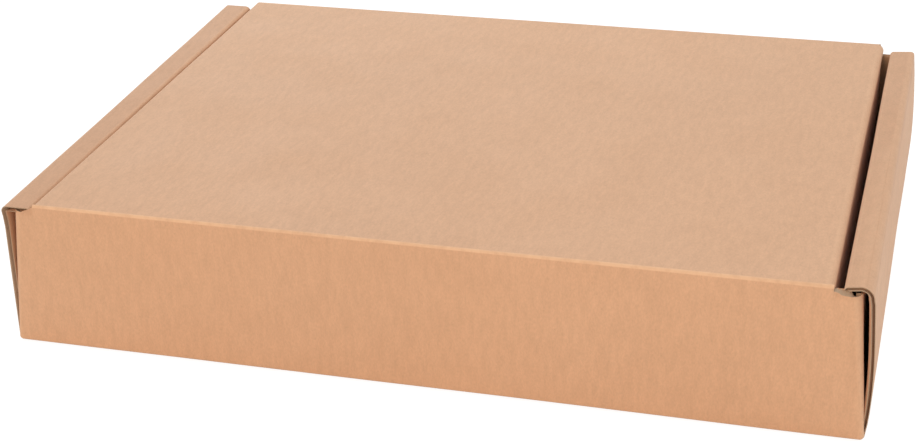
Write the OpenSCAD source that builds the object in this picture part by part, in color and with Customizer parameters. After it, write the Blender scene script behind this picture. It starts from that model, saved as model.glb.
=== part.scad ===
// Folding mailer box made of one sheet of corrugated board.
// The base carries two rolled double side walls, a hinge wall and a front wall.
// The lid hangs on the hinge wall and carries two tucked side flaps and a front flap.
// X runs along the width, Y from the hinge wall (-Y) to the front (+Y), Z up.
// The origin is on the ground, in the middle of the box's outline.

/* [Box] */
// Width across the base, outside
box_w = 360; // [280:1:460]
// Depth from the hinge wall to the front flap, outside
box_d = 259; // [200:1:360]
// Height to the top of the lid, outside
box_h = 66; // [56:1:110]

/* [Board] */
// Thickness of the corrugated board
board = 2.5; // [1.6:0.1:2.8]
// Inner radius of a fold
fold_r = 1; // [0.6:0.1:1.4]
// Space between two boards that lie against each other
layer_gap = 0.5; // [0.3:0.1:0.8]

/* [Side rolls] */
// Width of a rolled side wall, from its outer to its inner face
roll_w = 10.6; // [10:0.2:16]
// How far the right outer wall bows out at mid height
side_bow = 2.5; // [0:0.5:4]
// How far the left outer wall leans in at its top
side_lean = 0.5; // [0:0.1:1.3]
// From the front wall back to the ledge's front end
ledge_short = 2.9; // [0.6:0.1:8]
// Length of a lock tab along the side
tab_len = 32; // [16:1:50]
// Distance between the middles of a side's two lock tabs
tab_pitch = 130; // [70:2:140]
// Clearance of a lock tab in its slot, all round
slot_gap = 0.3; // [0.2:0.1:0.6]
// Height of a lock tab's end above the ground
tab_rise = 0.5; // [0.2:0.1:1]

/* [Hinge wall and front wall] */
// How much narrower each end of these walls is at its top
wall_taper = 4.3; // [4.2:0.1:4.6]
// How far the hinge wall's corners lie below the lid's top
corner_drop = 3.8; // [3.2:0.1:8]
// Gap between the front wall's top and the lid
front_gap = 1.7; // [0.8:0.1:4]
// Length of the dust flaps that fold back into the rolls
ear_len = 78; // [30:1:95]
// How much lower a dust flap is at its free end
ear_slope = 9; // [0:1:15]

/* [Lid] */
// Gap between the lid's left side flap and the left roll
lid_gap_left = 4.8; // [1:0.1:6]
// Gap between the lid's right side flap and the right roll
lid_gap_right = 4.5; // [1:0.1:6]
// Drop of the lid's side flaps below the lid's top
side_flap_h = 46; // [20:1:50]
// Distance of a side flap from the hinge wall
side_flap_back = 4; // [2:0.5:20]
// Distance of a side flap from the front wall
side_flap_front = 13; // [10:1:40]
// How much shorter a side flap is at its lower edge, at each end
side_flap_taper = 12; // [0:1:25]
// Height of the front flap's free edge above the ground
front_flap_rise = 4; // [1:1:20]
// How much narrower than the lid the front flap is, at each end
front_flap_inset = 1.5; // [0:0.5:10]
// Radius of the front flap's two free corners
front_flap_corner = 12; // [3:1:25]
// Clearance around the hinge creases
hinge_gap = 0.2; // [0.1:0.05:0.4]

/* [Hidden] */
$fn = 48;
kraft = [0.80, 0.62, 0.45];
// Steps in the curve of an outer wall
bow_steps = 12;
// Cutters reach past what they cut by this much
past = 1;
// Panels run into their folds by this much, so that the sheet is whole
weld = 0.02;
// Folds
fold_out = board + fold_r;
half_board = board / 2;
crease_cut = board / sqrt(2) + hinge_gap;
// Places across the width
base_x = box_w / 2;
roll_in = base_x - roll_w;
ear_x = base_x - wall_taper;
lid_left = -roll_in + lid_gap_left;
lid_right = roll_in - lid_gap_right;
lid_w = lid_right - lid_left;
// Places along the depth, counted from the hinge wall's outer face
hinge_y = half_board;
flap_hinge_y = box_d - half_board;
front_wall_y = box_d - 2 * board - layer_gap;
roll_start = board + layer_gap;
roll_end = front_wall_y - layer_gap;
ledge_end = front_wall_y - ledge_short;
roll_mid = (roll_start + ledge_end) / 2;
// Heights
hinge_z = box_h - half_board;
wall_h = box_h - 2 * fold_out;
corner_z = box_h - corner_drop;
front_top = box_h - board - front_gap;
inner_foot = board + layer_gap;
lean_angle = atan(wall_taper / corner_z);

// Moves the box so that the origin is in the middle of its outline.
module in_frame() {
    translate([-side_bow / 2, -box_d / 2, 0]) children();
}

// Stretches a flat profile, drawn as X and Z, from one depth to another.
module along_y(from, to) {
    translate([0, to, 0]) rotate([90, 0, 0]) linear_extrude(to - from) children();
}

// Quarter ring of a folded board: the fold turns from direction "start" on.
module fold_profile(at, start) {
    translate(at) rotate(start) intersection() {
        difference() {
            circle(fold_out);
            circle(fold_r);
        }
        square(fold_out);
    }
}

// Outer face of a side's outer wall at share t of its height.
function outer_x(t, bow, lean) = base_x + 4 * bow * t * (1 - t) - lean * t;

// Height at share t of an outer wall, which runs a little into both folds.
function wall_z(t) = fold_out - weld + t * (wall_h + 2 * weld);

// Outer wall between its two folds, with its bow and lean.
module outer_wall_profile(bow, lean) {
    shares = [for (i = [0:bow_steps]) i / bow_steps];
    outer = [for (t = shares) [outer_x(t, bow, lean), wall_z(t)]];
    inner = [for (t = shares) [outer_x(1 - t, bow, lean) - board, wall_z(1 - t)]];
    polygon(concat(outer, inner));
}

// Flat top of a roll with the fold on each side of it.
module ledge_profile(lean) {
    top_x = base_x - lean;
    translate([roll_in + fold_out, box_h - board]) square([top_x - roll_in - 2 * fold_out, board]);
    fold_profile([top_x - fold_out, box_h - fold_out], 0);
    fold_profile([roll_in + fold_out, box_h - fold_out], 90);
}

// Rolled double wall on the right-hand side, with its two lock tabs.
module side_roll(bow, lean) {
    along_y(roll_start, roll_end) {
        fold_profile([base_x - fold_out, fold_out], -90);
        outer_wall_profile(bow, lean);
    }
    along_y(0, ledge_end) ledge_profile(lean);
    along_y(roll_start, ledge_end) translate([roll_in, inner_foot])
        square([board, box_h - fold_out + weld - inner_foot]);
    for (side = [-1, 1])
        translate([roll_in, roll_mid + side * tab_pitch / 2 - tab_len / 2, tab_rise])
            cube([board, tab_len, inner_foot + weld - tab_rise]);
}

// Slots in the base that take the lock tabs of the right-hand side.
module tab_slots() {
    for (side = [-1, 1])
        translate([roll_in - slot_gap, roll_mid + side * tab_pitch / 2 - tab_len / 2 - slot_gap, -past])
            cube([board + 2 * slot_gap, tab_len + 2 * slot_gap, board + 2 * past]);
}

// Dust flap on the right-hand end of an end wall, with its fold.
module dust_flap(top) {
    low = board + layer_gap;
    translate([ear_x - fold_out, fold_out, low]) linear_extrude(top - low) rotate(-90) fold_profile([0, 0], 0);
    translate([ear_x - board, fold_out, 0]) rotate([90, 0, 90]) linear_extrude(board)
        polygon([[-weld, low], [ear_len, low + ear_slope], [ear_len, top - ear_slope], [-weld, top]]);
}

// Cuts the rounded leaning edge of an end wall's right-hand end.
module end_rounding() {
    translate([base_x, 0, 0]) rotate([0, -lean_angle, 0]) translate([-fold_out, 0, -box_h / 2])
        difference() {
            translate([0, -past, 0]) cube([fold_out + 2 * wall_taper, fold_out + past, 2 * box_h]);
            translate([0, fold_out, -past]) cylinder(r = fold_out, h = 2 * box_h + 2 * past);
        }
}

// Wall that stands on the base's edge, from its bottom fold up to "top".
module end_wall(top) {
    difference() {
        union() {
            along_y(0, board) translate([-base_x, fold_out - weld]) square([2 * base_x, top - fold_out + weld]);
            rotate([90, 0, 90]) translate([0, 0, -base_x]) linear_extrude(2 * base_x)
                fold_profile([fold_out, fold_out], 180);
        }
        for (side = [0, 1]) mirror([side, 0, 0]) end_rounding();
    }
    for (side = [0, 1]) mirror([side, 0, 0]) dust_flap(top);
}

// Round top of the hinge wall under the lid's crease.
module hinge_rise() {
    along_y(0, board) translate([lid_left, corner_z - past]) square([lid_w, hinge_z - corner_z + past]);
    translate([lid_left, hinge_y, hinge_z]) rotate([0, 90, 0]) cylinder(r = half_board, h = lid_w);
}

// Base with its slots.
module base_panel() {
    inset = fold_out - weld;
    difference() {
        translate([inset - base_x, inset, 0])
            cube([2 * (base_x - inset), front_wall_y + board - 2 * inset, board]);
        for (side = [0, 1]) mirror([side, 0, 0]) tab_slots();
    }
}

module tray() {
    color(kraft) in_frame() {
        base_panel();
        side_roll(side_bow, 0);
        mirror([1, 0, 0]) side_roll(0, side_lean);
        end_wall(corner_z);
        hinge_rise();
        translate([0, front_wall_y + board, 0]) mirror([0, 1, 0]) end_wall(front_top);
    }
}

// Side flap of the lid, folded down, seen from the side as Y and Z.
module side_flap(outer_face) {
    back = roll_start + side_flap_back;
    front = front_wall_y - side_flap_front;
    foot = box_h - side_flap_h;
    head = box_h - fold_out + weld;
    translate([outer_face, 0, 0]) rotate([90, 0, 90]) linear_extrude(board)
        polygon([
            [back, head],
            [back + side_flap_taper, foot],
            [front - side_flap_taper, foot],
            [front, head],
        ]);
}

// Lid panel between its two side folds.
module lid_panel() {
    inset = fold_out - weld;
    translate([lid_left + inset, hinge_y, box_h - board])
        cube([lid_w - 2 * inset, flap_hinge_y - hinge_y, board]);
    along_y(hinge_y, flap_hinge_y) {
        fold_profile([lid_right - fold_out, box_h - fold_out], 0);
        fold_profile([lid_left + fold_out, box_h - fold_out], 90);
    }
}

// Clearance cut for a hinge crease that runs across the lid.
module crease_clearance(y) {
    translate([lid_left - past, y, hinge_z]) rotate([0, 90, 0]) cylinder(r = crease_cut, h = lid_w + 2 * past);
    translate([lid_left - past, y - crease_cut, box_h - 2 * fold_out])
        cube([lid_w + 2 * past, 2 * crease_cut, hinge_z - box_h + 2 * fold_out]);
}

module lid() {
    color(kraft) in_frame() {
        difference() {
            lid_panel();
            crease_clearance(hinge_y);
            crease_clearance(flap_hinge_y);
        }
        side_flap(lid_left);
        side_flap(lid_right - board);
    }
}

// Outline of the front flap below its crease, as X and Z.
module front_flap_outline() {
    left = lid_left + front_flap_inset;
    right = lid_right - front_flap_inset;
    lift = front_flap_rise + front_flap_corner;
    translate([left, lift]) square([right - left, hinge_z - lift]);
    translate([left + front_flap_corner, front_flap_rise])
        square([right - left - 2 * front_flap_corner, front_flap_corner + past]);
    for (x = [left + front_flap_corner, right - front_flap_corner])
        translate([x, lift]) circle(front_flap_corner);
}

module front_flap() {
    color(kraft) in_frame() {
        along_y(box_d - board, box_d) front_flap_outline();
        translate([lid_left + front_flap_inset, flap_hinge_y, hinge_z]) rotate([0, 90, 0])
            cylinder(r = half_board, h = lid_w - 2 * front_flap_inset);
    }
}

tray();
lid();
front_flap();
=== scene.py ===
import math
import bmesh
import bpy
from mathutils import noise as mathNoise
from mathutils import Matrix, Vector


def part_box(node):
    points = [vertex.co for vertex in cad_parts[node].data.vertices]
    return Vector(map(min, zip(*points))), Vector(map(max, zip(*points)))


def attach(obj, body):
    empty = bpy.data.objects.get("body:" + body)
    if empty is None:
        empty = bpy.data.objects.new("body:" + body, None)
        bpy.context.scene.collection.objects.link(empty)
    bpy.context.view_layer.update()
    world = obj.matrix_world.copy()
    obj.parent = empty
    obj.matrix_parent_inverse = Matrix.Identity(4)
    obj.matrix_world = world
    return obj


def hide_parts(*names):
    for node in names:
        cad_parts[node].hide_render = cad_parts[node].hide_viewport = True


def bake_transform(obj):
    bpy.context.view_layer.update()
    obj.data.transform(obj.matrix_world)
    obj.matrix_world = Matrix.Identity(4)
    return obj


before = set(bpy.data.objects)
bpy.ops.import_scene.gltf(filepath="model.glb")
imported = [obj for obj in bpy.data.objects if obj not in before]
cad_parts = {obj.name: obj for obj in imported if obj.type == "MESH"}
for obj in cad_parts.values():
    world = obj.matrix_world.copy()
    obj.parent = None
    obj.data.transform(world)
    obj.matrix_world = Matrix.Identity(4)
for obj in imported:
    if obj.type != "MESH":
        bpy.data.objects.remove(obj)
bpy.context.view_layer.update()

# Folding mailer box of single-wall corrugated board. Lengths are in metres.
mm = 0.001

# Two paper liners with a fluted sheet between them
board = {
    "thick": 2.5 * mm,
    "liner": 0.32 * mm,
    "fluteThick": 0.2 * mm,
    "flutePitch": 6.4 * mm,
    "fluteSwing": 0.8 * mm,
    "fluteSteps": 8,           # faces to a wave
    "fluteDepth": 14 * mm,     # how far in from a cut edge the fluted sheet is made
    "fold": 1.7 * mm,          # outer radius of a fold
    "foldSteps": 8,
    "foldAngles": (0.1, 0.5),  # radians between neighbouring faces of a fold
    # wear and painted highlight on a fold
    "foldWearAndHighlight": 0.6,
    "smoothAngle": 35,
    "warp": 0.5 * mm,          # how far a panel wanders from flat
    "warpSize": 0.11,
    "rowStep": 18 * mm,        # spacing of the rows that let a panel warp
    "rowBeside": 1.5 * mm,     # from a fold to the row that keeps its wear there
    "wallSteps": 3,            # rows up an end wall or down a side flap
}

trayLow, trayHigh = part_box("tray")
lidLow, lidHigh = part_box("lid")
flapLow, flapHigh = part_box("front_flap")
top = trayHigh.z
hingeY = trayLow.y
frontY = trayHigh.y
flapY = flapHigh.y
hingeSeam = 60 * mm            # height at which the hinge wall ends and the lid's crease begins
fold = board["fold"]
half = board["thick"] / 2
nearly = 0.02 * mm             # two places closer than this are the same
far = 1.0                      # beyond every point of the box
facing = 0.9                   # a face looks along an axis from this share of its normal on
stub = 1 * mm                  # a pull whose new edge is put in its place afterwards


def toObjectMode():
    if bpy.context.object and bpy.context.object.mode != "OBJECT":
        bpy.ops.object.mode_set(mode="OBJECT")


def selectNothing():
    toObjectMode()
    bpy.ops.object.select_all(action="DESELECT")


def selectOnly(obj):
    selectNothing()
    obj.select_set(True)
    bpy.context.view_layer.objects.active = obj


def editOnly(obj):
    selectOnly(obj)
    bpy.ops.object.mode_set(mode="EDIT")
    bpy.ops.mesh.select_mode(type="EDGE")


def within(co, low, high):
    return all(a - nearly <= c <= b + nearly for c, a, b in zip(co, low, high))


def startPanel(name, centre, size, turn=(0, 0, 0)):
    selectNothing()
    bpy.ops.mesh.primitive_plane_add(size=1, location=centre, rotation=turn)
    obj = bpy.context.object
    obj.name = name
    obj.scale = (size[0], size[1], 1)
    bpy.ops.object.transform_apply(location=True, rotation=True, scale=True)
    editOnly(obj)
    return obj


def pickRim(obj, low, high, upright=False):
    # selects the open edges that lie in a box, all of them or only those that run upwards
    bpy.ops.mesh.select_all(action="DESELECT")
    mesh = bmesh.from_edit_mesh(obj.data)
    for edge in mesh.edges:
        rise = abs(edge.verts[0].co.z - edge.verts[1].co.z)
        if edge.is_boundary and all(within(v.co, low, high) for v in edge.verts):
            edge.select_set(rise > nearly or not upright)
    bmesh.update_edit_mesh(obj.data)


def pickFaces(obj, test):
    bpy.ops.mesh.select_mode(type="FACE")
    bpy.ops.mesh.select_all(action="DESELECT")
    mesh = bmesh.from_edit_mesh(obj.data)
    for face in mesh.faces:
        face.select_set(test(face))
    bmesh.update_edit_mesh(obj.data)


def nudge(obj, shift):
    # moves each selected point by what shift says for its place
    mesh = bmesh.from_edit_mesh(obj.data)
    for v in mesh.verts:
        if v.select:
            v.co += Vector(shift(v.co))
    bmesh.update_edit_mesh(obj.data)


def shiftEnds(obj, near, ahead):
    # moves the two ends of the selected row along the depth
    mesh = bmesh.from_edit_mesh(obj.data)
    row = [v for v in mesh.verts if v.select]
    low = min(v.co.y for v in row)
    high = max(v.co.y for v in row)
    for v in row:
        if v.co.y < low + nearly:
            v.co.y += near
        elif v.co.y > high - nearly:
            v.co.y += ahead
    bmesh.update_edit_mesh(obj.data)


def pull(vector):
    bpy.ops.mesh.extrude_edges_move(TRANSFORM_OT_translate={"value": tuple(vector)})


def bendOver(centre, axis, degrees):
    # right-hand turn about the axis; without a window spin turns the other way
    bpy.ops.mesh.spin(steps=board["foldSteps"], angle=-math.radians(degrees), center=centre, axis=axis)


def cutAcross(obj, normal, places):
    for at in places:
        bpy.ops.mesh.select_all(action="SELECT")
        bpy.ops.mesh.bisect(plane_co=Vector(normal) * at, plane_no=normal)


def rowsBetween(low, high):
    count = max(1, round((high - low) / board["rowStep"]))
    return [low + (high - low) * i / count for i in range(1, count)]


def rowsInside(low, high):
    # rows for the warp, and one beside each fold so that wear stays at the fold
    first, last = low + board["rowBeside"], high - board["rowBeside"]
    return [first] + rowsBetween(first, last) + [last]


def settleNormals(obj, point, outward):
    # the face nearest the point has to look outwards, and the rest follow it
    bpy.ops.mesh.select_all(action="SELECT")
    bpy.ops.mesh.remove_doubles(threshold=nearly / 2)
    bpy.ops.mesh.normals_make_consistent(inside=False)
    mesh = bmesh.from_edit_mesh(obj.data)
    nearest = min(mesh.faces, key=lambda f: (f.calc_center_median() - Vector(point)).length)
    if nearest.normal.dot(Vector(outward)) < 0:
        bpy.ops.mesh.select_all(action="SELECT")
        bpy.ops.mesh.flip_normals()


def warpPanels(obj):
    selectOnly(obj)
    clouds = bpy.data.textures.get("boardWarp") or bpy.data.textures.new("boardWarp", "CLOUDS")
    clouds.noise_scale = board["warpSize"]
    clouds.noise_depth = 1
    warp = obj.modifiers.new("warp", "DISPLACE")
    warp.texture = clouds
    warp.texture_coords = "LOCAL"
    warp.strength = board["warp"]
    warp.mid_level = 0.5
    bpy.ops.object.modifier_apply(modifier=warp.name)


def thicken(obj, name, thickness):
    solid = obj.modifiers.new(name, "SOLIDIFY")
    solid.thickness = thickness
    solid.offset = -1
    solid.use_quality_normals = True
    solid.material_offset_rim = 1
    bpy.ops.object.modifier_apply(modifier=solid.name)


def makeBoard(obj, materials, reshape=None, isClosed=None):
    # turns an outer face into two liners with the hollow of the board between them
    for material in materials:
        obj.data.materials.append(material)
    warpPanels(obj)
    count = len(obj.data.vertices)
    thicken(obj, "board", board["thick"])
    editOnly(obj)
    if reshape:
        reshape(obj, count)
    pickFaces(obj, lambda face: face.material_index == 1 and not (isClosed and isClosed(face)))
    bpy.ops.mesh.delete(type="FACE")
    selectOnly(obj)
    thicken(obj, "liner", board["liner"])


def fluteSheet(name, length, rows, placeOf, materials):
    # corrugated paper: placeOf gives a point on the middle surface, its normal and the wave's place
    selectNothing()
    columns = round(length / board["flutePitch"] * board["fluteSteps"])
    bpy.ops.mesh.primitive_grid_add(x_subdivisions=columns, y_subdivisions=rows, size=1)
    obj = bpy.context.object
    obj.name = name
    wave = 2 * math.pi / board["flutePitch"]
    for v in obj.data.vertices:
        point, normal, along = placeOf(v.co.x + 0.5, v.co.y + 0.5)
        v.co = Vector(point) + Vector(normal) * board["fluteSwing"] * math.sin(wave * along)
    for material in materials:
        obj.data.materials.append(material)
    for face in obj.data.polygons:
        face.material_index = 1
    warpPanels(obj)
    paper = obj.modifiers.new("paper", "SOLIDIFY")
    paper.thickness = board["fluteThick"]
    paper.offset = 0
    bpy.ops.object.modifier_apply(modifier=paper.name)
    return obj


def markPoints(obj, name, values):
    attribute = obj.data.attributes.new(name, "FLOAT", "POINT")
    attribute.data.foreach_set("value", values)


def markFolds(obj, wearAndHighlight):
    # how much wear and painted highlight the paper gets where it is bent: the given amount across the box,
    # the usual amount along its depth
    least, most = board["foldAngles"]
    mesh = bmesh.new()
    mesh.from_mesh(obj.data)
    bent = []
    for v in mesh.verts:
        pointWearAndHighlight = 0.0
        for edge in v.link_edges:
            if len(edge.link_faces) == 2 and least < edge.calc_face_angle(0) < most:
                run = edge.verts[0].co - edge.verts[1].co
                pointWearAndHighlight = max(pointWearAndHighlight, wearAndHighlight if abs(run.x) > abs(run.y) else board["foldWearAndHighlight"])
        bent.append(pointWearAndHighlight)
    mesh.free()
    markPoints(obj, "foldWearAndHighlight", bent)


def finishPiece(obj, parts, wearAndHighlight=board["foldWearAndHighlight"]):
    selectNothing()
    for part in [obj] + parts:
        part.select_set(True)
    bpy.context.view_layer.objects.active = obj
    if parts:
        bpy.ops.object.join()
    bpy.ops.object.shade_smooth_by_angle(angle=math.radians(board["smoothAngle"]))
    markFolds(obj, wearAndHighlight)


# Materials

pulpLayers = {
    # name: (noise scale, detail, stretch, two stops of its ramp)
    "clouds": (26, 5, (1, 1, 1), ((0.35, 0), (0.68, 1))),
    "broad": (7, 2, (1, 1, 1), ((0.3, 0.975), (0.7, 1.02))),
    "streaks": (420, 3, (1, 0.3, 0.3), ((0.3, 0.96), (0.7, 1.04))),
    "fibres": (1500, 2, (1, 0.5, 0.5), ((0.3, 0.9), (0.7, 1.06))),
    "dots": (900, 1, (1, 1, 1), ((0.69, 0), (0.76, 1))),
}
# noise that breaks up the wear and painted highlight on folds
wearAndHighlightNoiseLayer = (260, 4, (1, 1, 1), ((0.25, 0.35), (0.6, 1)))
linerLook = {
    "paper": (0.730, 0.428, 0.252),
    "pulp": (0.690, 0.398, 0.231),
    "speck": (0.36, 0.21, 0.12),
    "clouding": 0.5,
    "specks": 0.12,
    "paintedLedgeShade": (0.91, 0.875, 0.85),    # painted shade: a darker, more saturated tint on the rolls' tops
    # bent paper: a lighter tone for real wear and a painted highlight
    "wearAndHighlightMark": (0.88, 0.55, 0.33),
    "wearAndHighlightStrength": 0.35,
    "specular": 0.4,
    "sheen": 0.12,
    "bump": 0.35,
}
edgeLook = {
    "paper": (0.53, 0.38, 0.26),
    "pulp": (0.40, 0.27, 0.17),
    "speck": (0.18, 0.10, 0.05),
    "clouding": 0.8,
    "specks": 0.5,
    "paintedLedgeShade": (1, 1, 1),
    "wearAndHighlightMark": (0.55, 0.38, 0.26),
    "wearAndHighlightStrength": 0.1,
    "specular": 0.15,
    "sheen": 0.05,
    "bump": 0.8,
}
bumpDepth = 0.1 * mm


def addSocket(group, name, direction, kind, value=None):
    socket = group.interface.new_socket(name=name, in_out=direction, socket_type=kind)
    if value is not None:
        socket.default_value = value


def link(tree, source, output, target, socket):
    tree.links.new(source.outputs[output], target.inputs[socket])


def feed(tree, value, socket):
    # value is another node's output or a plain constant
    if isinstance(value, bpy.types.NodeSocket):
        tree.links.new(value, socket)
    else:
        socket.default_value = value


def combine(tree, operation, a, b):
    node = tree.nodes.new("ShaderNodeMath")
    node.operation = operation
    feed(tree, a, node.inputs[0])
    feed(tree, b, node.inputs[1])
    return node.outputs["Value"]


def mixColors(tree, blendType, factor, a, b):
    node = tree.nodes.new("ShaderNodeMix")
    node.data_type = "RGBA"
    node.blend_type = blendType
    for socket, value in (("Factor", factor), ("A", a), ("B", b)):
        feed(tree, value, [s for s in node.inputs if s.name == socket and s.enabled][0])
    return [s for s in node.outputs if s.enabled][0]


def noiseLayer(tree, coords, scale, detail, stretch, stops):
    # a noise and the same through a grey ramp
    mapping = tree.nodes.new("ShaderNodeMapping")
    mapping.inputs["Scale"].default_value = stretch
    tree.links.new(coords, mapping.inputs["Vector"])
    noise = tree.nodes.new("ShaderNodeTexNoise")
    noise.inputs["Scale"].default_value = scale
    noise.inputs["Detail"].default_value = detail
    link(tree, mapping, "Vector", noise, "Vector")
    ramp = tree.nodes.new("ShaderNodeValToRGB")
    for element, (place, grey) in zip(ramp.color_ramp.elements, stops):
        element.position = place
        element.color = (grey, grey, grey, 1)
    link(tree, noise, "Fac", ramp, "Fac")
    return noise.outputs["Fac"], ramp.outputs["Color"]


def kraftPulpGroup():
    # fibres, pulp clouds and specks of unbleached paper
    group = bpy.data.node_groups.new("kraftPulp", "ShaderNodeTree")
    addSocket(group, "Vector", "INPUT", "NodeSocketVector")
    addSocket(group, "Paper", "INPUT", "NodeSocketColor", (0.6, 0.4, 0.25, 1))
    addSocket(group, "Pulp", "INPUT", "NodeSocketColor", (0.5, 0.33, 0.2, 1))
    addSocket(group, "Speck", "INPUT", "NodeSocketColor", (0.2, 0.12, 0.06, 1))
    addSocket(group, "Clouding", "INPUT", "NodeSocketFloat", 0.5)
    addSocket(group, "Specks", "INPUT", "NodeSocketFloat", 0.5)
    addSocket(group, "Color", "OUTPUT", "NodeSocketColor")
    addSocket(group, "Roughness", "OUTPUT", "NodeSocketFloat")
    addSocket(group, "Height", "OUTPUT", "NodeSocketFloat")
    start = group.nodes.new("NodeGroupInput").outputs
    end = group.nodes.new("NodeGroupOutput")

    noises, tones = {}, {}
    for name, layer in pulpLayers.items():
        noises[name], tones[name] = noiseLayer(group, start["Vector"], *layer)

    clouding = combine(group, "MULTIPLY", tones["clouds"], start["Clouding"])
    color = mixColors(group, "MIX", clouding, start["Paper"], start["Pulp"])
    for name, strength in (("streaks", 1.0), ("broad", 1.0), ("fibres", 0.6)):
        color = mixColors(group, "MULTIPLY", strength, color, tones[name])
    specks = combine(group, "MULTIPLY", tones["dots"], start["Specks"])
    color = mixColors(group, "MIX", specks, color, start["Speck"])
    group.links.new(color, end.inputs["Color"])

    rough = group.nodes.new("ShaderNodeMapRange")
    rough.inputs["To Min"].default_value = 0.66
    rough.inputs["To Max"].default_value = 0.86
    group.links.new(noises["clouds"], rough.inputs["Value"])
    group.links.new(rough.outputs["Result"], end.inputs["Roughness"])

    height = combine(group, "ADD", noises["fibres"], noises["streaks"])
    group.links.new(height, end.inputs["Height"])
    return group


def boardMaterial(name, pulpGroup, look):
    material = bpy.data.materials.new(name)
    material.use_nodes = True
    tree = material.node_tree
    shader = tree.nodes["Principled BSDF"]
    coords = tree.nodes.new("ShaderNodeTexCoord")
    pulp = tree.nodes.new("ShaderNodeGroup")
    pulp.node_tree = pulpGroup
    link(tree, coords, "Object", pulp, "Vector")
    for socket in ("Paper", "Pulp", "Speck"):
        pulp.inputs[socket].default_value = look[socket.lower()] + (1,)
    pulp.inputs["Clouding"].default_value = look["clouding"]
    pulp.inputs["Specks"].default_value = look["specks"]

    # the tops of the rolls get a painted shade, and bent paper is lightened by wear and a painted highlight
    ledgeShadeNode = tree.nodes.new("ShaderNodeAttribute")
    ledgeShadeNode.attribute_name = "paintedLedgeShade"
    paper = mixColors(tree, "MULTIPLY", ledgeShadeNode.outputs["Fac"], pulp.outputs["Color"], look["paintedLedgeShade"] + (1,))
    # wear and painted highlight: the fold attribute times a noise, mixed towards a lighter tone
    wearAndHighlight = tree.nodes.new("ShaderNodeAttribute")
    wearAndHighlight.attribute_name = "foldWearAndHighlight"
    wearAndHighlightBreakup = noiseLayer(tree, coords.outputs["Object"], *wearAndHighlightNoiseLayer)[1]
    wearAndHighlightMark = combine(tree, "MULTIPLY", wearAndHighlight.outputs["Fac"], wearAndHighlightBreakup)
    amount = combine(tree, "MULTIPLY", wearAndHighlightMark, look["wearAndHighlightStrength"])
    color = mixColors(tree, "MIX", amount, paper, look["wearAndHighlightMark"] + (1,))
    tree.links.new(color, shader.inputs["Base Color"])
    link(tree, pulp, "Roughness", shader, "Roughness")
    shader.inputs["Specular IOR Level"].default_value = look["specular"]
    shader.inputs["Sheen Weight"].default_value = look["sheen"]

    bump = tree.nodes.new("ShaderNodeBump")
    bump.inputs["Strength"].default_value = look["bump"]
    bump.inputs["Distance"].default_value = bumpDepth
    link(tree, pulp, "Height", bump, "Height")
    link(tree, bump, "Normal", shader, "Normal")
    return material


pulpGroup = kraftPulpGroup()
boardMaterials = [
    boardMaterial("kraftLiner", pulpGroup, linerLook),
    boardMaterial("kraftCutEdge", pulpGroup, edgeLook),
]
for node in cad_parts.values():
    for materialSlot in node.material_slots:
        materialSlot.material = boardMaterials[0]
print("materials ready")


# Tray: base, walls and side rolls. Of two values, -1 is for the left side and 1 for the right.

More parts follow.
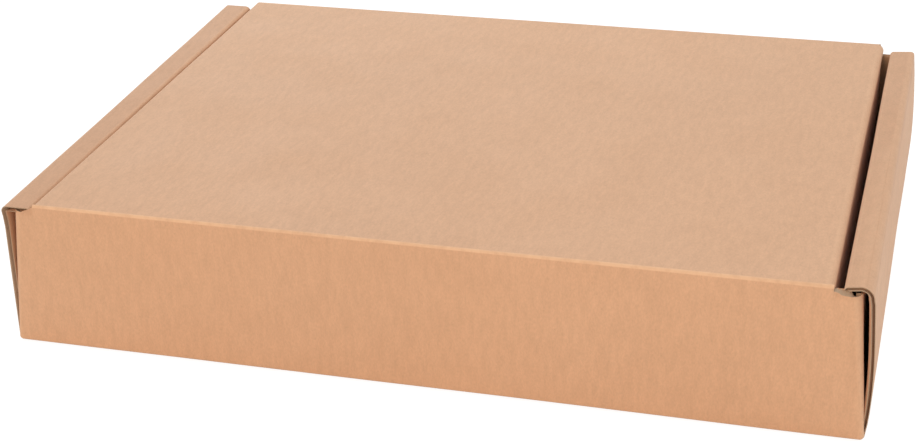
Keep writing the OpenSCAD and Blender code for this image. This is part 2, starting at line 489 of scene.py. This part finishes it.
trayShape = {
    "bow": {-1: 0, 1: 1.7 * mm},                 # outer walls, below mid height
    "bowPower": 0.76,                            # the bow's widest place is lower for less
    "bowRoom": 2.5 * mm,                         # what the frame leaves for the right wall's bow
    "bowSteps": 12,
    "lean": {-1: 0.5 * mm, 1: 0},                # outer walls, at their top
    "endRows": 2,                                # over which a wall's ends pass into its ledge's
    "rollWidth": {-1: 14.4 * mm, 1: 11.4 * mm},  # from the base's edge to the inner wall's face
    "looseFold": {-1: 2.6 * mm, 1: 5.2 * mm},    # radius of a ledge's outer fold at the hinge wall
    "innerFold": {-1: 2.4 * mm, 1: 1.7 * mm},    # radius of a ledge's inner fold
    "ledgeDip": {-1: 0, 1: 0.6 * mm},            # ledge's inner edge below its outer one
    "ledgeSink": {-1: 1.8 * mm, 1: 0},           # how far a ledge sinks towards the hinge wall
    "ledgeNear": {-1: -1.2 * mm, 1: -0.4 * mm},  # ledge's near end past the outer wall's
    "ledgeShort": 5.4 * mm,                      # ledge's front end behind the front wall's face
    "ledgeShadeDepth": 4 * mm,                         # how far below the top the rolls get the painted shade
    "crush": {-1: 0.1, 1: 0.3},                  # share of the thickness lost at a roll's near end
    "crushReach": 1.9 * mm,
    "fluteStart": {-1: 0.25, 1: -0.25},          # where in its wave the fluted sheet is cut there
    "innerDrop": 6 * mm,                         # straight part below a ledge's inner fold
    "innerBack": 3 * mm,                         # how much further back an inner wall begins
    "innerRows": (40 * mm, 20 * mm),
    "innerFoot": 3 * mm,
    "tabLength": 32 * mm,
    "tabPitch": 130 * mm,
    "tabFoot": 0.5 * mm,
    "slotGap": 0.3 * mm,
    "taper": {-1: 5.8 * mm, 1: 4.5 * mm},        # end walls, at each top corner
    "cornerFold": 3.4 * mm,                      # radius of an end wall's upright folds at their top
    "frontDrop": 4.2 * mm,                       # front wall's top below the lid's
    "frontInset": 10 * mm,                       # its fluted sheet, at each end
    "earSlack": 0.5 * mm,                        # round the place where a dust flap's edge is sought
    "earBack": 7 * mm,                           # a dust flap's part beside its fold
    "earInset": 4.6 * mm,
    "earLength": 74 * mm,
    "earSlope": 9 * mm,
    # hinge wall's corners: distance from the lid's edge, and how far below the lid's top
    "cornerDrops": {
        -1: [(0, 1.2), (1.6, 1.8), (3, 2.5), (5, 3.6), (6.5, 4.1), (10, 4.6), (14, 5.0)],
        1: [(0, 2.0), (1, 2.3), (3, 3.2), (5, 3.7), (8, 3.9), (10, 4.6), (14, 4.0)],
    },
    "cornerBacks": {                             # the same for the inner liner's edge
        -1: [(0, 1.6), (3, 3.2), (5, 4.4), (10, 5.4), (14, 5.8)],
        1: [(0, 2.0), (5, 2.3), (6.5, 3.0), (8, 5.4), (14, 5.0)],
    },
    "cornerStep": 1.9 * mm,                      # between the columns in a corner's top
    "cornerColumns": 7,
    "cornerRange": (7 * mm, 0.6 * mm),           # a torn top is sought so far below the lid's
    "cornerDepth": 3.2 * mm,                     # and so far behind the hinge wall's face
    "cornerInner": 1.8 * mm,                     # its inner liner is behind this
    "cornerSlant": 0.3,                          # least upward share of a torn top's normal
    "tear": 0.35 * mm,
    "tearScale": 700,
}
baseLeft = trayLow.x
baseRight = trayHigh.x - trayShape["bowRoom"]


def outwards(side, share):
    # how far a side's outer wall stands outside the base's edge at a share of its height
    bow = trayShape["bow"][side] * math.sin(math.pi * share ** trayShape["bowPower"])
    return bow - trayShape["lean"][side] * share


def sideEdge(side):
    return baseRight if side > 0 else baseLeft


def tabMiddles():
    middle = (hingeY + fold + frontY - trayShape["ledgeShort"]) / 2
    return [middle + s * trayShape["tabPitch"] / 2 for s in (-1, 1)]


def slotSides(side):
    inner = sideEdge(side) - side * trayShape["rollWidth"][side]
    gap = trayShape["slotGap"]
    return sorted([inner - side * gap, inner + side * (board["thick"] + gap)])


def inSlot(face):
    co = face.calc_center_median()
    reach = trayShape["tabLength"] / 2 + trayShape["slotGap"]
    return any(
        slotSides(side)[0] < co.x < slotSides(side)[1] and abs(co.y - middle) < reach
        for side in (-1, 1) for middle in tabMiddles()
    )


def cutSlots(obj):
    reach = trayShape["tabLength"] / 2
    for middle in tabMiddles():
        for distance in (reach, reach + trayShape["slotGap"]):
            cutAcross(obj, (0, 1, 0), [middle - distance, middle + distance])
    for side in (-1, 1):
        cutAcross(obj, (1, 0, 0), slotSides(side))
    pickFaces(obj, inSlot)
    bpy.ops.mesh.delete(type="FACE")
    bpy.ops.mesh.select_mode(type="EDGE")


def raiseEndWall(obj, end, wallTop):
    # end is -1 for the hinge wall and 1 for the front wall
    faceY = hingeY if end < 0 else frontY
    foldY = faceY - end * fold
    pickRim(obj, (-far, foldY, 0), (far, foldY, 0))
    bendOver((0, foldY, fold), (1, 0, 0), 90 * end)
    for step in range(board["wallSteps"]):
        pull((0, 0, (wallTop - fold) / board["wallSteps"]))
    if end < 0:
        for side, lidEdge in ((-1, lidLow.x), (1, lidHigh.x)):
            lowX, highX = sorted([lidEdge, side * far])
            pickRim(obj, (lowX, faceY, wallTop), (highX, faceY, wallTop))
            pull((0, 0, top - wallTop))
    # the wall's two ends lean in towards the top, where their folds are softer
    grow = (trayShape["cornerFold"] - fold) / hingeSeam
    for side, lidEdge in ((-1, lidLow.x), (1, lidHigh.x)):
        flat = sideEdge(side) - side * fold
        lean = trayShape["taper"][side] / hingeSeam

        def inwards(co):
            return -side * (lean + grow) * co.z * max(0, (co.x - lidEdge) / (flat - lidEdge))

        moveWall(obj, faceY, inwards)
    if end < 0:
        lowerCorners(obj)
    for side in (-1, 1):
        foldDustFlap(obj, end, side, faceY, trayShape["taper"][side] / hingeSeam, grow)


def moveWall(obj, faceY, across):
    # shifts the points of an upright wall sideways
    mesh = bmesh.from_edit_mesh(obj.data)
    for v in mesh.verts:
        if abs(v.co.y - faceY) < nearly and v.co.z > fold - nearly:
            v.co.x += across(v.co)
    bmesh.update_edit_mesh(obj.data)


def foldDustFlap(obj, end, side, faceY, lean, grow):
    edge = sideEdge(side)
    foldY = faceY - end * fold
    flat = edge - side * fold
    lowX, highX = sorted([flat - side * (lean + grow) * top, flat])
    lowY, highY = sorted([faceY, foldY])
    pickRim(obj, (lowX, lowY, 0), (highX, highY, top), upright=True)
    axis = Vector((-side * (lean + grow), -end * grow, 1)).normalized()
    bendOver((flat, foldY, 0), axis, -90 * side * end)
    # low down the flap is squeezed in beside the outer wall
    slack = trayShape["earSlack"]
    lowX, highX = sorted([edge - side * (lean * top + 2 * slack), edge])
    lowY, highY = sorted([foldY + end * slack, foldY - end * (grow * top + slack)])
    pickRim(obj, (lowX, lowY, fold - 5 * nearly), (highX, highY, top), upright=True)
    pull((0, -end * trayShape["earBack"], 0))
    earX = edge - side * trayShape["earInset"]
    nudge(obj, lambda co: (earX - co.x, 0, 0))
    pull((0, -end * trayShape["earLength"], 0))
    nudge(obj, lambda co: (0, 0, trayShape["earSlope"] * (1 - 2 * co.z / top)))


def cornerDrop(x, drops):
    # how far below the lid's top the hinge wall's corner is cut at x
    side = 1 if x > 0 else -1
    away = (x - (lidHigh.x if side > 0 else lidLow.x)) * side / mm
    stops = drops[side]
    for (a, low), (b, high) in zip(stops, stops[1:]):
        if away <= b:
            share = max(0, (away - a) / (b - a))
            return (low + (high - low) * share) * mm
    return stops[-1][1] * mm


def cornerColumns():
    # the corners are torn a little, so their tops take a few close columns
    steps = [i * trayShape["cornerStep"] for i in range(trayShape["cornerColumns"])]
    return [lidLow.x - step for step in steps] + [lidHigh.x + step for step in steps]


def torn(co):
    return mathNoise.noise(Vector((co.x, co.y, 0)) * trayShape["tearScale"]) * trayShape["tear"]


def lowerCorners(obj):
    # beside the lid the hinge wall's top is cut lower
    mesh = bmesh.from_edit_mesh(obj.data)
    for v in mesh.verts:
        if v.co.z > top - nearly:
            v.co.z -= cornerDrop(v.co.x, trayShape["cornerDrops"]) + torn(v.co)
    bmesh.update_edit_mesh(obj.data)


def isCornerTop(co):
    deepest, highest = trayShape["cornerRange"]
    beside = co.x < lidLow.x - nearly or co.x > lidHigh.x + nearly
    onWall = co.y < hingeY + trayShape["cornerDepth"]
    return beside and onWall and top - deepest < co.z < top - highest


def isCornerCut(face):
    return abs(face.normal.z) > trayShape["cornerSlant"] and isCornerTop(face.calc_center_median())


def isRollEnd(v):
    # on the cut end of a roll, beside the hinge wall
    beside = v.co.y < hingeY + fold + nearly
    return beside and any(face.material_index == 1 and face.normal.y < -facing for face in v.link_faces)


def reshapeEnds(obj, count):
    # count is the number of outer points; the inner one of each comes count places later
    mesh = bmesh.from_edit_mesh(obj.data)
    mesh.verts.ensure_lookup_table()
    for outer, inner in zip(mesh.verts[:count], mesh.verts[count:]):
        if isRollEnd(outer):
            inner.co = inner.co.lerp(outer.co, trayShape["crush"][1 if outer.co.x > 0 else -1])
    # where the hinge wall's corners are torn, its inner liner ends at another height
    innerY = hingeY + trayShape["cornerInner"]
    for v in mesh.verts:
        ledgeEdge = any(abs(face.normal.z) > facing for face in v.link_faces if face.material_index == 0)
        if v.index >= count and not ledgeEdge and isCornerTop(v.co) and v.co.y > innerY:
            v.co.z = top - cornerDrop(v.co.x, trayShape["cornerBacks"]) + torn(v.co)
    bmesh.update_edit_mesh(obj.data)


def rollSide(obj, side):
    edge = sideEdge(side)
    flatEdge = edge - side * fold
    pickRim(obj, (flatEdge, hingeY + fold, 0), (flatEdge, frontY - fold, 0))
    bendOver((flatEdge, 0, fold), (0, 1, 0), -90 * side)
    steps, endRows = trayShape["bowSteps"], trayShape["endRows"]
    for step in range(steps):
        out = outwards(side, (step + 1) / steps) - outwards(side, step / steps)
        pull((side * out, 0, (top - 2 * fold) / steps))
        if step >= steps - endRows:
            ahead = (fold - trayShape["ledgeShort"]) / endRows
            shiftEnds(obj, trayShape["ledgeNear"][side] / endRows, ahead)
    # towards the hinge wall the outer fold gets softer and the ledge sinks
    ledgeEnd = frontY - trayShape["ledgeShort"]
    soften = (trayShape["looseFold"][side] - fold) / (ledgeEnd - hingeY)
    sink = trayShape["ledgeSink"][side] / (ledgeEnd - hingeY)
    nudge(obj, lambda co: (0, 0, -(soften + sink) * (ledgeEnd - co.y)))
    wallTop = edge + side * outwards(side, 1)
    axis = Vector((side * soften, 1, soften + sink)).normalized()
    bendOver((wallTop - side * fold, ledgeEnd, top - fold), axis, -90 * side)
    inner, dip = trayShape["innerFold"][side], trayShape["ledgeDip"][side]
    ledgeIn = edge - side * (trayShape["rollWidth"][side] - inner)
    pull((-side * stub, 0, 0))
    nudge(obj, lambda co: (ledgeIn - co.x, 0, top - dip - sink * (ledgeEnd - co.y) - co.z))
    bendOver((ledgeIn, ledgeEnd, top - dip - inner), Vector((0, 1, sink)).normalized(), -90 * side)
    pull((0, 0, -trayShape["innerDrop"]))
    shiftEnds(obj, trayShape["innerBack"], 0)
    foot = trayShape["innerFoot"]
    pull((0, 0, -stub))
    nudge(obj, lambda co: (0, 0, foot - co.z))
    reach = trayShape["tabLength"] / 2
    rollFace = edge - side * trayShape["rollWidth"][side]
    for middle in tabMiddles():
        pickRim(obj, (rollFace, middle - reach, foot), (rollFace, middle + reach, foot))
        pull((0, 0, trayShape["tabFoot"] - foot))


def rollPath(side, end):
    # middle of the board round a side roll: place, outward normal and the cut end's depth
    edge = sideEdge(side)
    steps, endRows = trayShape["bowSteps"], trayShape["endRows"]
    ledgeEnd = frontY - trayShape["ledgeShort"]
    wallEnd = frontY - fold
    innerEnd = ledgeEnd
    radius = fold
    high = top
    if end < 0:
        ledgeEnd = hingeY + fold + trayShape["ledgeNear"][side]
        wallEnd = hingeY + fold
        innerEnd = hingeY + trayShape["innerBack"]
        radius = trayShape["looseFold"][side]
        high = top - trayShape["ledgeSink"][side]
    path = []
    for step in range(steps + 1):
        share = step / steps
        late = max(0, share * steps - steps + endRows) / endRows
        z = fold + share * (top - 2 * fold)
        x = edge + side * (outwards(side, share) - half)
        path.append(((x, min(z, high - radius)), (side, 0), wallEnd + late * (ledgeEnd - wallEnd)))
    rollFace = edge - side * trayShape["rollWidth"][side]
    inner, dip = trayShape["innerFold"][side], trayShape["ledgeDip"][side]
    corners = [
        (edge + side * (outwards(side, 1) - radius), high - radius, radius),
        (rollFace + side * inner, high - dip - inner, inner),
    ]
    bendSteps = 6
    for turn, (x, z, bend) in enumerate(corners):
        for step in range(1, bendSteps + 1):
            angle = math.radians(90 * turn + 90 / bendSteps * step)
            normal = (side * math.cos(angle), math.sin(angle))
            at = (x + normal[0] * (bend - half), z + normal[1] * (bend - half))
            path.append((at, normal, ledgeEnd))
    innerTop = high - dip - inner - trayShape["innerDrop"]
    for z in (innerTop, *trayShape["innerRows"], trayShape["innerFoot"]):
        path.append(((rollFace + side * half, z), (-side, 0), innerEnd))
    return path


def rollFlutes(side, end, materials):
    path = rollPath(side, end)
    depth = board["fluteDepth"]

    def placeOf(u, v):
        (x, z), normal, cutEnd = path[round(v * (len(path) - 1))]
        y = cutEnd - end * u * depth
        lost = 0
        if end < 0:
            lost = trayShape["crush"][side] * max(0, 1 - u * depth / trayShape["crushReach"])
        x += normal[0] * half * lost
        z += normal[1] * half * lost
        swing = 1 - lost
        along = u * depth + trayShape["fluteStart"][side] * board["flutePitch"]
        return (x, y, z), (normal[0] * swing, 0, normal[1] * swing), along

    return fluteSheet("rollFlutes", depth, len(path) - 1, placeOf, materials)


def frontWallFlutes(materials):
    depth = board["fluteDepth"]
    left, right = baseLeft + trayShape["frontInset"], baseRight - trayShape["frontInset"]
    wallTop = top - trayShape["frontDrop"]

    def placeOf(u, v):
        z = wallTop - u * depth
        return (left + v * (right - left), frontY - half, z), (0, 1, 0), z

    rows = round((right - left) / board["rowStep"])
    return fluteSheet("wallFlutes", depth, rows, placeOf, materials)


def markLedgeShade(obj):
    # 1 on the tops of the rolls, which get a painted shade
    ledgeShadePoints = []
    for v in obj.data.vertices:
        high = v.co.z > top - trayShape["ledgeShadeDepth"]
        ledgeShadePoints.append(float(high and not lidLow.x < v.co.x < lidHigh.x))
    markPoints(obj, "paintedLedgeShade", ledgeShadePoints)


def makeTray(materials):
    width = baseRight - baseLeft - 2 * fold
    depth = frontY - hingeY - 2 * fold
    tray = startPanel("trayBoard", ((baseLeft + baseRight) / 2, (hingeY + frontY) / 2, 0), (width, depth))
    cutSlots(tray)
    cutAcross(tray, (1, 0, 0), cornerColumns())
    raiseEndWall(tray, -1, hingeSeam)
    raiseEndWall(tray, 1, top - trayShape["frontDrop"])
    for side in (-1, 1):
        rollSide(tray, side)
    cutAcross(tray, (1, 0, 0), rowsInside(baseLeft + fold, baseRight - fold))
    cutAcross(tray, (0, 1, 0), rowsInside(hingeY + fold, frontY - fold))
    cutAcross(tray, (0, 0, 1), rowsInside(fold, top - fold))
    settleNormals(tray, (0, 0, 0), (0, 0, -1))
    makeBoard(tray, materials, reshapeEnds, isCornerCut)
    flutes = [rollFlutes(side, end, materials) for side in (-1, 1) for end in (-1, 1)]
    flutes.append(frontWallFlutes(materials))
    finishPiece(tray, flutes)
    markLedgeShade(tray)
    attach(tray, "tray_body")
    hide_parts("tray")


# Creases: a strip of both liners between the two panels

creaseShape = {
    "reach": 6 * mm,          # from the crease's corner into the panels beside it
    "radius": 1.2 * mm,
    "innerRadius": 0.4 * mm,
    "wearAndHighlightWidth": 1.2 * mm,    # band beside the bend that takes the wear and painted highlight
    # how strong the wear and painted highlight are along the crease
    "wearAndHighlight": 2.6,
}
lidCrease = {
    "edgeY": hingeY,
    "end": -1,
    "foot": hingeSeam,
    "inset": 0.0,
    "wallBody": "tray_body",
}
flapCrease = {
    "edgeY": flapY,
    "end": 1,
    "foot": top - creaseShape["reach"],
    "inset": flapLow.x - lidLow.x,
    "wallBody": "front_flap_body",
}


def creaseSheet(name, crease, depth, radius):
    # one liner across a crease: depth is how far it lies under the board's outer face
    edgeY, end, foot = crease["edgeY"], crease["end"], crease["foot"]
    faceY = edgeY - end * depth
    faceZ = top - depth
    flatLeft, flatRight = lidFlat()
    bendY, bendZ = faceY - end * radius, faceZ - radius
    centre = ((flatLeft + flatRight) / 2, faceY, foot + (bendZ - foot) / 2)
    sheet = startPanel(name, centre, (flatRight - flatLeft, bendZ - foot), (math.radians(90), 0, 0))
    cutAcross(sheet, (1, 0, 0), rowsInside(flatLeft, flatRight))
    pickRim(sheet, (-far, faceY, bendZ), (far, faceY, bendZ))
    bendOver((0, bendY, bendZ), (1, 0, 0), 90 * end)
    reachY = edgeY - end * creaseShape["reach"]
    pull((0, -end * creaseShape["wearAndHighlightWidth"], 0))
    pull((0, reachY - bendY + end * creaseShape["wearAndHighlightWidth"], 0))
    for side, flatEdge in ((-1, flatLeft), (1, flatRight)):
        foldLidSide(sheet, side, flatEdge, sorted([bendY, reachY]), faceZ)
        lowY, highY = sorted([bendY, faceY])
        pickRim(sheet, (flatEdge, lowY, foot), (flatEdge, highY, faceZ))
        pull((side * (lidShape["fold"][side] - crease["inset"]), 0, 0))
    settleNormals(sheet, (0, faceY, foot), (0, end, 0))
    return sheet


def makeCrease(name, crease, materials):
    outer = creaseSheet(name, crease, 0, creaseShape["radius"])
    inner = creaseSheet(name + "Inside", crease, board["thick"], creaseShape["innerRadius"])
    for sheet in (outer, inner):
        for material in materials:
            sheet.data.materials.append(material)
        warpPanels(sheet)
        if sheet is inner:
            editOnly(sheet)
            bpy.ops.mesh.select_all(action="SELECT")
            bpy.ops.mesh.flip_normals()
        selectOnly(sheet)
        thicken(sheet, "liner", board["liner"])
    finishPiece(outer, [inner], creaseShape["wearAndHighlight"])
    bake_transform(outer)


# Lid, with its two side flaps

lidShape = {
    "fold": {-1: 1.7 * mm, 1: 3.4 * mm},  # radius of the two side folds
    "flapBack": 7 * mm,                   # side flaps, from the hinge wall's face
    "flapFront": 240.5 * mm,
    "flapTaper": 12 * mm,                 # shorter at the free edge, at each end
    "fluteRows": 4,
}


def lidFlat():
    # the lid's flat part, between its two side folds
    return lidLow.x + lidShape["fold"][-1], lidHigh.x - lidShape["fold"][1]


def lidFlapEnds():
    return hingeY + lidShape["flapBack"], hingeY + lidShape["flapFront"]


def foldLidSide(obj, side, flatEdge, ends, z):
    # bends the open edge at one side down, between two places along the depth
    pickRim(obj, (flatEdge, ends[0], z), (flatEdge, ends[1], z))
    bendOver((flatEdge, 0, top - lidShape["fold"][side]), (0, 1, 0), 90 * side)


def lidFlapFlutes(side, materials):
    back, front = lidFlapEnds()
    lidEdge = lidLow.x if side < 0 else lidHigh.x
    foot, head = lidLow.z, top - lidShape["fold"][side]

    def placeOf(u, v):
        inset = lidShape["flapTaper"] * (1 - v)
        y = back + inset + u * (front - back - 2 * inset)
        return (lidEdge - side * half, y, foot + v * (head - foot)), (side, 0, 0), y

    return fluteSheet("lidFlutes", front - back, lidShape["fluteRows"], placeOf, materials)


def makeLid(materials):
    flatLeft, flatRight = lidFlat()
    low, high = hingeY + creaseShape["reach"], flapY - creaseShape["reach"]
    centre = ((flatLeft + flatRight) / 2, (low + high) / 2, top)
    lid = startPanel("lidBoard", centre, (flatRight - flatLeft, high - low))
    back, front = lidFlapEnds()
    cutAcross(lid, (0, 1, 0), [back, front])
    cutAcross(lid, (0, 1, 0), rowsBetween(back, front))
    steps = board["wallSteps"]
    for side, flatEdge in ((-1, flatLeft), (1, flatRight)):
        foldLidSide(lid, side, flatEdge, (low, high), top)
        sideFold = lidShape["fold"][side]
        lidEdge = flatEdge + side * sideFold
        pickRim(lid, (lidEdge, back, top - sideFold), (lidEdge, front, top - sideFold))
        for step in range(steps):
            pull((0, 0, (lidLow.z - top + sideFold) / steps))
            shiftEnds(lid, lidShape["flapTaper"] / steps, -lidShape["flapTaper"] / steps)
    cutAcross(lid, (1, 0, 0), rowsInside(flatLeft, flatRight))
    cutAcross(lid, (0, 0, 1), [top - lidShape["fold"][1] - board["rowBeside"]])
    settleNormals(lid, centre, (0, 0, 1))
    makeBoard(lid, materials)
    finishPiece(lid, [lidFlapFlutes(side, materials) for side in (-1, 1)])
    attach(lid, "lid_body")
    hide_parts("lid")


# Front flap, outside the front wall

frontFlap = {
    "corner": 12 * mm,
    "cornerSteps": 10,
    "fluteRows": 18,
}


def roundFreeCorners(flap, low):
    bpy.ops.mesh.select_mode(type="VERT")
    bpy.ops.mesh.select_all(action="DESELECT")
    mesh = bmesh.from_edit_mesh(flap.data)
    for v in mesh.verts:
        v.select_set(v.co.z < low + nearly)
    bmesh.update_edit_mesh(flap.data)
    bpy.ops.mesh.bevel(offset=frontFlap["corner"], segments=frontFlap["cornerSteps"], affect="VERTICES")
    bpy.ops.mesh.select_mode(type="EDGE")


def frontFlapFlutes(low, high, materials):
    corner = frontFlap["corner"]

    def placeOf(u, v):
        z = low + u * (high - low)
        below = max(0, low + corner - z)
        inset = corner - math.sqrt(corner ** 2 - below ** 2)
        left, right = flapLow.x + inset, flapHigh.x - inset
        return (left + v * (right - left), flapY - half, z), (0, 1, 0), z

    return fluteSheet("flapFlutes", high - low, frontFlap["fluteRows"], placeOf, materials)


def makeFrontFlap(materials):
    low, high = flapLow.z, top - creaseShape["reach"]
    centre = ((flapLow.x + flapHigh.x) / 2, flapY, (low + high) / 2)
    size = (flapHigh.x - flapLow.x, high - low)
    flap = startPanel("frontFlapBoard", centre, size, (math.radians(90), 0, 0))
    roundFreeCorners(flap, low)
    cutAcross(flap, (1, 0, 0), rowsInside(flapLow.x, flapHigh.x)[1:-1])
    cutAcross(flap, (0, 0, 1), rowsBetween(low, high))
    settleNormals(flap, centre, (0, 1, 0))
    makeBoard(flap, materials)
    finishPiece(flap, [frontFlapFlutes(low, high, materials)])
    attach(flap, "front_flap_body")
    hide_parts("front_flap")


makeTray(boardMaterials)
print("tray folded")
makeCrease("lidCrease", lidCrease, boardMaterials)
makeLid(boardMaterials)
print("lid folded")
makeCrease("flapCrease", flapCrease, boardMaterials)
makeFrontFlap(boardMaterials)
print("front flap folded")


# Camera, light and ground

camera = {
    "place": (202.05 * mm, -747.9 * mm, 392.7 * mm),
    "turn": 16.47,            # degrees, from facing +Y
    "down": 26.06,
    "roll": -1.86,
    "focalPixels": 1849.7,
    "imageWidth": 917,
    "sensor": 36.0,
    "clipEnd": 50,
}
studio = {
    "world": 0.72,
    "floorSize": 8,
    "floorDrop": 0.35 * mm,   # below the base, which warps
    "floorTone": 0.86,
    "floorGlow": 1.25,
    "floorWhite": 0.7,        # share of the floor that the camera sees as plain white
    "aim": (0, 0, 0.03),
    "lamps": {
        # name: (power, place, size, color)
        "keyLamp": (16, (2.6, 0.7, 1.3), 1.0, (0.85, 0.95, 1)),
        "topLamp": (2.3, (-0.45, 0.65, 0.6), 0.4, (0.6, 0.83, 1)),
        "frontLamp": (22.2, (-0.6, -2.8, 1.2), 1.2, (1, 0.68, 0.42)),
    },
}


def addCamera():
    data = bpy.data.cameras.new("photoCamera")
    data.sensor_width = camera["sensor"]
    data.lens = camera["focalPixels"] / camera["imageWidth"] * camera["sensor"]
    data.clip_end = camera["clipEnd"]
    obj = bpy.data.objects.new("photoCamera", data)
    bpy.context.scene.collection.objects.link(obj)
    heading = Matrix.Rotation(math.radians(camera["turn"]), 4, "Z")
    tilt = Matrix.Rotation(math.radians(90 - camera["down"]), 4, "X")
    roll = Matrix.Rotation(math.radians(camera["roll"]), 4, "Z")
    obj.matrix_world = Matrix.Translation(camera["place"]) @ heading @ tilt @ roll
    bpy.context.scene.camera = obj


def addLamp(name, power, place, size, color):
    data = bpy.data.lights.new(name, "AREA")
    data.energy = power
    data.size = size
    data.color = color
    obj = bpy.data.objects.new(name, data)
    bpy.context.scene.collection.objects.link(obj)
    aim = Vector(studio["aim"]) - Vector(place)
    obj.matrix_world = Matrix.Translation(place) @ aim.to_track_quat("-Z", "Y").to_matrix().to_4x4()


def addWorld():
    # the camera sees plain white, and the light on the box has its own strength
    world = bpy.data.worlds.new("studio")
    bpy.context.scene.world = world
    world.use_nodes = True
    tree = world.node_tree
    tree.nodes.clear()
    path = tree.nodes.new("ShaderNodeLightPath")
    mix = tree.nodes.new("ShaderNodeMixShader")
    end = tree.nodes.new("ShaderNodeOutputWorld")
    link(tree, path, "Is Camera Ray", mix, "Fac")
    for socket, strength in ((1, studio["world"]), (2, 1.0)):
        light = tree.nodes.new("ShaderNodeBackground")
        light.inputs["Color"].default_value = (1, 1, 1, 1)
        light.inputs["Strength"].default_value = strength
        link(tree, light, "Background", mix, socket)
    link(tree, mix, "Shader", end, "Surface")


def addFloor():
    selectNothing()
    bpy.ops.mesh.primitive_plane_add(size=studio["floorSize"], location=(0, 0, -studio["floorDrop"]))
    floor = bpy.context.object
    floor.name = "floor"
    bpy.ops.object.transform_apply(location=True, rotation=True, scale=True)
    material = bpy.data.materials.new("paleFloor")
    material.use_nodes = True
    tree = material.node_tree
    shader = tree.nodes["Principled BSDF"]
    shader.inputs["Base Color"].default_value = (studio["floorTone"],) * 3 + (1,)
    shader.inputs["Roughness"].default_value = 0.9
    shader.inputs["Specular IOR Level"].default_value = 0.1
    glow = tree.nodes.new("ShaderNodeEmission")
    glow.inputs["Strength"].default_value = studio["floorGlow"]
    path = tree.nodes.new("ShaderNodeLightPath")
    share = combine(tree, "MULTIPLY", path.outputs["Is Camera Ray"], studio["floorWhite"])
    pick = tree.nodes.new("ShaderNodeMixShader")
    tree.links.new(share, pick.inputs["Fac"])
    link(tree, shader, "BSDF", pick, 1)
    link(tree, glow, "Emission", pick, 2)
    link(tree, pick, "Shader", tree.nodes["Material Output"], "Surface")
    floor.data.materials.append(material)


addCamera()
addWorld()
for lamp, settings in studio["lamps"].items():
    addLamp(lamp, *settings)
addFloor()
bpy.context.scene.view_settings.view_transform = "Standard"
print("studio ready")
